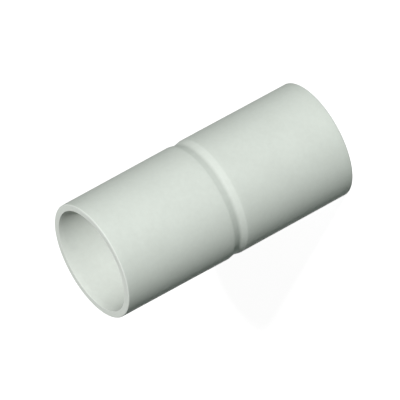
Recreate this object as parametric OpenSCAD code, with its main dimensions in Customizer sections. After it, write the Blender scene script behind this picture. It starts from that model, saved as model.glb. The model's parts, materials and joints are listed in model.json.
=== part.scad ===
// Straight coupling for rigid round conduit: one moulded sleeve with a socket at
// each end. A stop ring inside, half way along, parts the sockets, and a shallow
// groove round the outside lies over it and shows where it is.
// The sleeve stands on one mouth. Z is its axis, and z = 0 the plane of that mouth.

/* [Conduit] */
// Outside diameter of the conduit that the coupling joins
conduit_d = 20; // [16:1:32]
// Room for the conduit in its socket, as a difference of diameters
socket_room = 0.3; // [0.1:0.05:0.5]

/* [Sockets] */
// Depth of each socket, from its mouth to the stop ring
socket_depth = 24; // [16:0.5:40]
// Thickness of the wall at each mouth
wall = 1.45; // [1.2:0.05:2.5]
// Slope of the outside, which is widest at the middle, in degrees
draft = 0.15; // [0:0.05:0.5]
// Radius of the outer edge of each mouth
mouth_edge_r = 0.2; // [0.1:0.05:0.6]
// Length of the lead-in, which widens each socket towards its mouth
lead_length = 1; // [0.5:0.1:2]
// Gain in radius over the lead-in
lead_flare = 0.1; // [0.05:0.05:0.3]

/* [Stop ring] */
// Width of the stop ring at its root, and of the groove over it
stop_w = 3; // [2.4:0.1:4]
// Height of the stop ring above the wall of the sockets
stop_h = 1; // [0.8:0.1:2]
// Lean of the stop ring's sides, in degrees from square
stop_lean = 15; // [5:1:20]
// Radius of the stop ring's inner edges
stop_edge_r = 0.25; // [0.1:0.05:0.4]

/* [Groove] */
// Slope of the groove's sides, in degrees from the axis
groove_slope = 12; // [6:1:20]
// Radius of the groove's floor
groove_floor_r = 2; // [1:0.1:2.5]
// Radius of the groove's two outer edges
groove_edge_r = 1.2; // [0.5:0.1:1.8]

/* [Hidden] */

// Facets round the sleeve, and the turn between two points of a rounded edge, in degrees
ring_fn = 120;
blend_turn = 10;

half_length = socket_depth + stop_w / 2;
socket_r = (conduit_d + socket_room) / 2;

// The outside's corners before rounding, as [radius, height], from the axis at the
// foot of the sleeve to the bottom of the groove
axis_foot = [0, 0];
mouth_corner = [socket_r + wall, 0];
groove_corner = mouth_corner + socket_depth * [tan(draft), 1];
groove_bottom = groove_corner + stop_w / 2 * [-tan(groove_slope), 1];

// The bore's corners before rounding, over the same stretch. The flare runs on
// below the mouth by an overrun, for a clean cut.
overrun = 1;
flare_end = [socket_r + lead_flare * (lead_length + overrun) / lead_length, -overrun];
lead_corner = [socket_r, lead_length];
stop_root = [socket_r, socket_depth];
stop_corner = stop_root + stop_h * [-1, tan(stop_lean)];

// The mirror image of a point, and of a run of points, in the plane half way up
function flip(point) = [point.x, 2 * half_length - point.y];
function flip_all(points) = [for (i = [len(points) - 1:-1:0]) flip(points[i])];

// Unit vector from a towards b, and the vector v turned through an angle
function heading(a, b) = (b - a) / norm(b - a);
function turned(v, angle) =
    [v.x * cos(angle) - v.y * sin(angle), v.x * sin(angle) + v.y * cos(angle)];

// Points of an arc of radius r that rounds the corner b of the outline a, b, c
function blend(a, b, c, r) =
    let (
        half_corner = acos(heading(b, a) * heading(b, c)) / 2,
        start = b + heading(b, a) * r / tan(half_corner),
        bisector = heading([0, 0], heading(b, a) + heading(b, c)),
        centre = b + bisector * r / sin(half_corner),
        turn = 180 - 2 * half_corner,
        way = sign(cross(b - a, c - b)),
        steps = ceil(turn / blend_turn)
    )
    [for (i = [0:steps]) centre + turned(start - centre, way * turn * i / steps)];

// Half section of the outside: rounded mouths, and a shallow groove with a round floor
module outside_profile() {
    lower = concat(
        [axis_foot],
        blend(axis_foot, mouth_corner, groove_corner, mouth_edge_r),
        blend(mouth_corner, groove_corner, groove_bottom, groove_edge_r)
    );
    groove_floor = blend(groove_corner, groove_bottom, flip(groove_corner), groove_floor_r);
    polygon(concat(lower, groove_floor, flip_all(lower)));
}

// Half section of the bore: lead-in, socket, stop ring, and the same again
module bore_profile() {
    lower = concat(
        [[0, -overrun], flare_end, lead_corner, stop_root],
        blend(stop_root, stop_corner, flip(stop_corner), stop_edge_r)
    );
    polygon(concat(lower, flip_all(lower)));
}

module coupling_sleeve() {
    color("gainsboro") rotate_extrude($fn = ring_fn) difference() {
        outside_profile();
        bore_profile();
    }
}

coupling_sleeve();
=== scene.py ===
"""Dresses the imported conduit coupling: a finely turned shell in satin grey plastic,
lit softly from above the camera, on a plain white floor."""

import json
import math

import bpy
from mathutils import Matrix, Vector


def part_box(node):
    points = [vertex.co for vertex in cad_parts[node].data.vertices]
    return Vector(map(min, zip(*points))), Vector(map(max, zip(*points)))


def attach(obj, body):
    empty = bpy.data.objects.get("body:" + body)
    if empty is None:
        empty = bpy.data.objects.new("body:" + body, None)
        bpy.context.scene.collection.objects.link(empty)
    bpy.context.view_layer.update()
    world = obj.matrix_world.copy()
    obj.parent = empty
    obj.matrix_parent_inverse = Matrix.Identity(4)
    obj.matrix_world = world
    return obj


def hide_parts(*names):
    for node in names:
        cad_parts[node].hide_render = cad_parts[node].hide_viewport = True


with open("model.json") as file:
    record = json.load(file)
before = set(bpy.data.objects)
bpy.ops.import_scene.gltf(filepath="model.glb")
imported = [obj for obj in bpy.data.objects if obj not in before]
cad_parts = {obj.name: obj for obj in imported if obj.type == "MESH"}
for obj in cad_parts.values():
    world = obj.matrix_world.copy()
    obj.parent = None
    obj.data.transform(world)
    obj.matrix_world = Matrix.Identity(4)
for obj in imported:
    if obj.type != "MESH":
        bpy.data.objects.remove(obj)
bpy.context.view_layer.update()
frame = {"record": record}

MM = 0.001

# What the frame says of the sleeve, in millimetres
low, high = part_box("coupling_sleeve")
mounts = {mount["name"]: mount for mount in frame["record"]["mounts"]}
LENGTH = (high[2] - low[2]) / MM
WIDEST_R = (high[0] - low[0]) / 2 / MM
SOCKET_R = mounts["upper_socket"]["dims"]["r_mm"]
SOCKET_WALL = mounts["upper_socket"]["dims"]["length_mm"]

# Form of the sleeve, in millimetres and degrees, as in the part's source
WALL = 1.45
LEAD_LENGTH = 1.0
LEAD_FLARE = 0.1
STOP_H = 1.0
STOP_LEAN = 15
GROOVE_SLOPE = 12
MOUTH_EDGE_R = 0.2
GROOVE_EDGE_R = 1.2
GROOVE_FLOOR_R = 2.0
STOP_EDGE_R = 0.25

# Small radii that only the shell has
INNER_EDGE_R = 0.08
LEAD_EDGE_R = 2.0
STOP_ROOT_R = 0.12

# Fineness of the shell
RING_SEGMENTS = 216
BLEND_TURN = math.radians(7.5)
LONGEST_STEP = 1.6

# The plastic: its darkest and lightest tint, the painted shade that darkens the bore next to the
# outside, the share of the skin's grain in the mottling, how far the drag marks shrink along the
# axis, which draws them out, and how strong the grain and the marks are as bumps
DARKEST = (0.625, 0.660, 0.615, 1)
LIGHTEST = (0.662, 0.700, 0.654, 1)
# Painted shade: the factor that darkens the bore's colour to stand in for the shade inside it
BORE_PAINTED_SHADE = 0.96
GRAIN_SHARE = 0.55
DRAWN_OUT = 0.04
BUMP_STRENGTH = 0.6

# The photograph's view. The sleeve's upper mouth is the near one there, and its axis
# runs down to the left, so the camera is rolled. The distance and the reach are in metres.
PICTURE = 400
PIXELS_PER_MM = 5.441
MIDDLE_PIXEL = Vector((203.83, 200.11))
VIEW_FROM_AXIS = math.radians(66.8)
AXIS_BELOW_LEVEL = math.radians(28.59)
VIEW_DISTANCE = 3.0
VIEW_REACH = 100

# Two soft lamps, the key and a fill for the back, which the photograph doesn't show.
# Each has its angle from the axis, its angle round it from +X towards the camera, and
# its level, where 1 shows a colour as it is written. Sizes are in metres.
KEY = (math.radians(52), math.radians(74.5), 1.3)
FILL = (math.radians(88), math.radians(270), 1.0)
LAMP_DISTANCE = 4.0
LAMP_SIZE = 0.3

# Light from all round, and the floor: its reach in metres, and its glow and colour where
# it is seen, and the colour that it lights the sleeve with
WHITE = (1, 1, 1, 1)
AMBIENT_LEVEL = 0.015
AMBIENT_COLOUR = (0.85, 1.0, 0.9, 1)
FLOOR_REACH = 8.0
FLOOR_GLOW = 0.95
FLOOR_COLOUR = (0.25, 0.25, 0.25, 1)
FLOOR_BOUNCE = (0.105, 0.145, 0.12, 1)


def flipped(point):
    """The mirror image of a profile point in the plane half way up."""
    return Vector((point.x, LENGTH - point.y))


def blend(a, b, c, radius):
    """Points of an arc that rounds the corner b of the outline a, b, c."""
    back, on = (a - b).normalized(), (c - b).normalized()
    half = back.angle(on) / 2
    turn = math.pi - 2 * half
    start = b + back * radius / math.tan(half)
    centre = b + (back + on).normalized() * radius / math.sin(half)
    way = math.copysign(1, (b - a).cross(c - b))
    steps = max(2, math.ceil(turn / BLEND_TURN))
    return [
        centre + Matrix.Rotation(way * turn * i / steps, 2) @ (start - centre)
        for i in range(steps + 1)
    ]


def sleeve_corners():
    """Corners of the half section with their radii: up the outside, and down the bore."""
    socket_depth = SOCKET_WALL + LEAD_LENGTH
    stop_w = LENGTH - 2 * socket_depth
    groove_depth = stop_w / 2 * math.tan(math.radians(GROOVE_SLOPE))
    mouth = Vector((SOCKET_R + WALL, 0))
    groove = Vector((WIDEST_R, socket_depth))
    groove_bottom = Vector((WIDEST_R - groove_depth, LENGTH / 2))
    flare = Vector((SOCKET_R + LEAD_FLARE, 0))
    lead = Vector((SOCKET_R, LEAD_LENGTH))
    stop_root = Vector((SOCKET_R, socket_depth))
    lean = STOP_H * math.tan(math.radians(STOP_LEAN))
    stop = Vector((SOCKET_R - STOP_H, socket_depth + lean))
    outside = [(mouth, MOUTH_EDGE_R), (groove, GROOVE_EDGE_R)]
    bore = [(stop, STOP_EDGE_R), (stop_root, STOP_ROOT_R), (lead, LEAD_EDGE_R), (flare, INNER_EDGE_R)]
    up = outside + [(groove_bottom, GROOVE_FLOOR_R)]
    up += [(flipped(point), radius) for point, radius in reversed(outside)]
    down = [(flipped(point), radius) for point, radius in reversed(bore)]
    return up + down + bore


def sleeve_profile():
    """The closed half section, with arcs at its corners and short steps on its long sides."""
    corners = sleeve_corners()
    rounded = []
    for i, (point, radius) in enumerate(corners):
        before = corners[i - 1][0]
        after = corners[(i + 1) % len(corners)][0]
        rounded += blend(before, point, after, radius)
    profile = []
    for i, point in enumerate(rounded):
        after = rounded[(i + 1) % len(rounded)]
        steps = math.ceil((after - point).length / LONGEST_STEP)
        profile += [point.lerp(after, step / steps) for step in range(steps)]
    return profile


def turned(name, profile):
    """A mesh object made by turning a closed profile, in millimetres, about Z."""
    count = len(profile)
    points = []
    for segment in range(RING_SEGMENTS):
        angle = 2 * math.pi * segment / RING_SEGMENTS
        cosine, sine = math.cos(angle) * MM, math.sin(angle) * MM
        points += [(p.x * cosine, p.x * sine, p.y * MM) for p in profile]
    faces = []
    for segment in range(RING_SEGMENTS):
        here = segment * count
        there = (segment + 1) % RING_SEGMENTS * count
        for i in range(count):
            j = (i + 1) % count
            faces.append((here + i, there + i, there + j, here + j))
    mesh = bpy.data.meshes.new(name)
    mesh.from_pydata(points, [], faces)
    mesh.polygons.foreach_set("use_smooth", [True] * len(faces))
    mesh.update()
    piece = bpy.data.objects.new(name, mesh)
    bpy.context.collection.objects.link(piece)
    return piece


def node(tree, kind, place, **settings):
    """Adds a shader node. Settings name its properties, or its inputs with spaces as underscores."""
    made = tree.nodes.new(kind)
    made.location = place
    for name, value in settings.items():
        if hasattr(made, name):
            setattr(made, name, value)
        else:
            made.inputs[name.replace("_", " ")].default_value = value
    return made


def satin_plastic():
    """Pale grey moulded plastic: faint clouds of colour, a fine skin, and drag marks along the axis.

    The bore is painted a shade darker than the outside, as painted shade inside the socket.
    """
    material = bpy.data.materials.new("satin_plastic")
    material.use_nodes = True
    tree = material.node_tree
    tree.nodes.clear()
    link = tree.links.new

    place = node(tree, "ShaderNodeTexCoord", (-1300, 0))
    millimetres = node(tree, "ShaderNodeMapping", (-1100, 0), Scale=(1 / MM,) * 3)
    link(place.outputs["Object"], millimetres.inputs["Vector"])
    along = node(tree, "ShaderNodeMapping", (-1100, -400), Scale=(1 / MM, 1 / MM, DRAWN_OUT / MM))
    link(place.outputs["Object"], along.inputs["Vector"])

    clouds = node(tree, "ShaderNodeTexNoise", (-850, 250), Scale=0.16, Detail=3.0, Roughness=0.55)
    skin = node(tree, "ShaderNodeTexNoise", (-850, 0), Scale=1.1, Detail=4.0, Roughness=0.6)
    drag = node(tree, "ShaderNodeTexNoise", (-850, -300), Scale=1.6, Detail=3.0, Roughness=0.5)
    link(millimetres.outputs["Vector"], clouds.inputs["Vector"])
    link(millimetres.outputs["Vector"], skin.inputs["Vector"])
    link(along.outputs["Vector"], drag.inputs["Vector"])

    mottle = node(tree, "ShaderNodeMix", (-600, 250), data_type="FLOAT", Factor=GRAIN_SHARE)
    link(clouds.outputs["Fac"], mottle.inputs["A"])
    link(skin.outputs["Fac"], mottle.inputs["B"])
    tint = node(tree, "ShaderNodeValToRGB", (-400, 250))
    tint.color_ramp.elements[0].position = 0.35
    tint.color_ramp.elements[0].color = DARKEST
    tint.color_ramp.elements[1].position = 0.65
    tint.color_ramp.elements[1].color = LIGHTEST
    link(mottle.outputs["Result"], tint.inputs["Fac"])

    across = node(tree, "ShaderNodeVectorMath", (-850, 500), operation="MULTIPLY")
    across.inputs[1].default_value = (1, 1, 0)
    link(millimetres.outputs["Vector"], across.inputs[0])
    radius = node(tree, "ShaderNodeVectorMath", (-650, 500), operation="LENGTH")
    link(across.outputs["Vector"], radius.inputs[0])
    # Painted shade: inside the socket's radius the colour is darkened, standing in for the bore's
    # shade
    painted_bore_shade = node(
        tree, "ShaderNodeMapRange", (-400, 500),
        From_Min=SOCKET_R + LEAD_FLARE, From_Max=SOCKET_R + 2 * LEAD_FLARE, To_Min=BORE_PAINTED_SHADE)
    link(radius.outputs["Value"], painted_bore_shade.inputs["Value"])
    colour = node(tree, "ShaderNodeVectorMath", (-200, 300), operation="SCALE")
    link(tint.outputs["Color"], colour.inputs[0])
    link(painted_bore_shade.outputs["Result"], colour.inputs["Scale"])

    rough = node(tree, "ShaderNodeMapRange", (-600, -50), To_Min=0.5, To_Max=0.62)
    link(drag.outputs["Fac"], rough.inputs["Value"])

    fine = node(tree, "ShaderNodeBump", (-600, -350), Strength=BUMP_STRENGTH, Distance=0.01 * MM)
    link(skin.outputs["Fac"], fine.inputs["Height"])
    marks = node(tree, "ShaderNodeBump", (-400, -350), Strength=BUMP_STRENGTH, Distance=0.005 * MM)
    link(drag.outputs["Fac"], marks.inputs["Height"])
    link(fine.outputs["Normal"], marks.inputs["Normal"])

    plastic = node(tree, "ShaderNodeBsdfPrincipled", (-150, 0), Specular_IOR_Level=0.12)
    link(colour.outputs["Vector"], plastic.inputs["Base Color"])
    link(rough.outputs["Result"], plastic.inputs["Roughness"])
    link(marks.outputs["Normal"], plastic.inputs["Normal"])
    output = node(tree, "ShaderNodeOutputMaterial", (150, 0))
    link(plastic.outputs["BSDF"], output.inputs["Surface"])
    return material


def sleeve_middle():
    """The point on the axis half way up, in metres."""
    return Vector((0, 0, LENGTH / 2 * MM))


def add_camera():
    """A long lens at the photograph's angle, turned so that +Z points down to the left."""
    data = bpy.data.cameras.new("camera")
    camera = bpy.data.objects.new("camera", data)
    bpy.context.collection.objects.link(camera)
    back = Vector((0, -math.sin(VIEW_FROM_AXIS), math.cos(VIEW_FROM_AXIS)))
    level = Vector((1, 0, 0))
    upright = back.cross(level)
    roll = math.pi / 2 + AXIS_BELOW_LEVEL
    right = level * math.cos(roll) - upright * math.sin(roll)
    up = level * math.sin(roll) + upright * math.cos(roll)
    offset = (MIDDLE_PIXEL - Vector((PICTURE, PICTURE)) / 2) * MM / PIXELS_PER_MM
    eye = sleeve_middle() + back * VIEW_DISTANCE - right * offset.x + up * offset.y
    turn = Matrix((right, up, back)).transposed()
    camera.matrix_world = Matrix.Translation(eye) @ turn.to_4x4()
    picture_width = PICTURE / PIXELS_PER_MM * MM
    data.lens = data.sensor_width * VIEW_DISTANCE / picture_width
    data.clip_end = VIEW_REACH
    bpy.context.scene.camera = camera


def add_lamp(name, from_axis, turned_by, level):
    """A soft square lamp that faces the sleeve. At level 1 it shows a white surface as white."""
    data = bpy.data.lights.new(name, "AREA")
    data.size = LAMP_SIZE
    data.energy = level * (math.pi * LAMP_DISTANCE) ** 2
    lamp = bpy.data.objects.new(name, data)
    bpy.context.collection.objects.link(lamp)
    across = math.sin(from_axis)
    towards = Vector((
        across * math.cos(turned_by), -across * math.sin(turned_by), math.cos(from_axis)))
    lamp.location = sleeve_middle() + towards * LAMP_DISTANCE
    lamp.rotation_euler = towards.to_track_quat("Z", "Y").to_euler()
    return lamp


def seen_rays(tree):
    """A factor that is 1 for camera, glossy and transmission rays, and 0 for the rest."""
    rays = node(tree, "ShaderNodeLightPath", (-900, 300))
    either = node(tree, "ShaderNodeMath", (-700, 300), operation="MAXIMUM")
    tree.links.new(rays.outputs["Is Camera Ray"], either.inputs[0])
    tree.links.new(rays.outputs["Is Glossy Ray"], either.inputs[1])
    any_of = node(tree, "ShaderNodeMath", (-500, 300), operation="MAXIMUM")
    tree.links.new(either.outputs[0], any_of.inputs[0])
    tree.links.new(rays.outputs["Is Transmission Ray"], any_of.inputs[1])
    return any_of.outputs[0]


def add_world():
    """White where it is seen, and dim where it lights the sleeve."""
    world = bpy.data.worlds.new("studio")
    world.use_nodes = True
    tree = world.node_tree
    tree.nodes.clear()
    dim = node(
        tree, "ShaderNodeBackground", (-200, 100), Strength=AMBIENT_LEVEL, Color=AMBIENT_COLOUR)
    white = node(tree, "ShaderNodeBackground", (-200, -100), Strength=1.0, Color=WHITE)
    mix = node(tree, "ShaderNodeMixShader", (0, 0))
    output = node(tree, "ShaderNodeOutputWorld", (200, 0))
    tree.links.new(seen_rays(tree), mix.inputs["Fac"])
    tree.links.new(dim.outputs[0], mix.inputs[1])
    tree.links.new(white.outputs[0], mix.inputs[2])
    tree.links.new(mix.outputs[0], output.inputs["Surface"])
    bpy.context.scene.world = world


def add_floor():
    """A wide floor that looks white, keeps the sleeve's shadow and throws back little light."""
    mesh = bpy.data.meshes.new("floor")
    corners = [(x * FLOOR_REACH, y * FLOOR_REACH, 0) for x, y in ((-1, -1), (1, -1), (1, 1), (-1, 1))]
    mesh.from_pydata(corners, [], [(0, 1, 2, 3)])
    floor = bpy.data.objects.new("floor", mesh)
    bpy.context.collection.objects.link(floor)
    material = bpy.data.materials.new("white_floor")
    material.use_nodes = True
    tree = material.node_tree
    tree.nodes.clear()
    glow = node(tree, "ShaderNodeEmission", (-400, 100), Strength=FLOOR_GLOW, Color=WHITE)
    paint = node(tree, "ShaderNodeBsdfDiffuse", (-400, -50), Color=FLOOR_COLOUR)
    seen = node(tree, "ShaderNodeAddShader", (-200, 50))
    unseen = node(tree, "ShaderNodeBsdfDiffuse", (-200, -150), Color=FLOOR_BOUNCE)
    mix = node(tree, "ShaderNodeMixShader", (0, 0))
    output = node(tree, "ShaderNodeOutputMaterial", (200, 0))
    tree.links.new(glow.outputs[0], seen.inputs[0])
    tree.links.new(paint.outputs[0], seen.inputs[1])
    tree.links.new(seen_rays(tree), mix.inputs["Fac"])
    tree.links.new(unseen.outputs[0], mix.inputs[1])
    tree.links.new(seen.outputs[0], mix.inputs[2])
    tree.links.new(mix.outputs[0], output.inputs["Surface"])
    mesh.materials.append(material)


shell = turned("sleeve_shell", sleeve_profile())
shell.data.materials.append(satin_plastic())
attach(shell, "root")
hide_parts("coupling_sleeve")

add_camera()
add_lamp("key", *KEY)
fill = add_lamp("fill", *FILL)
# Its gloss would whiten the rim in the photograph's view
fill.visible_glossy = False
add_world()
add_floor()
bpy.context.scene.view_settings.view_transform = "Standard"
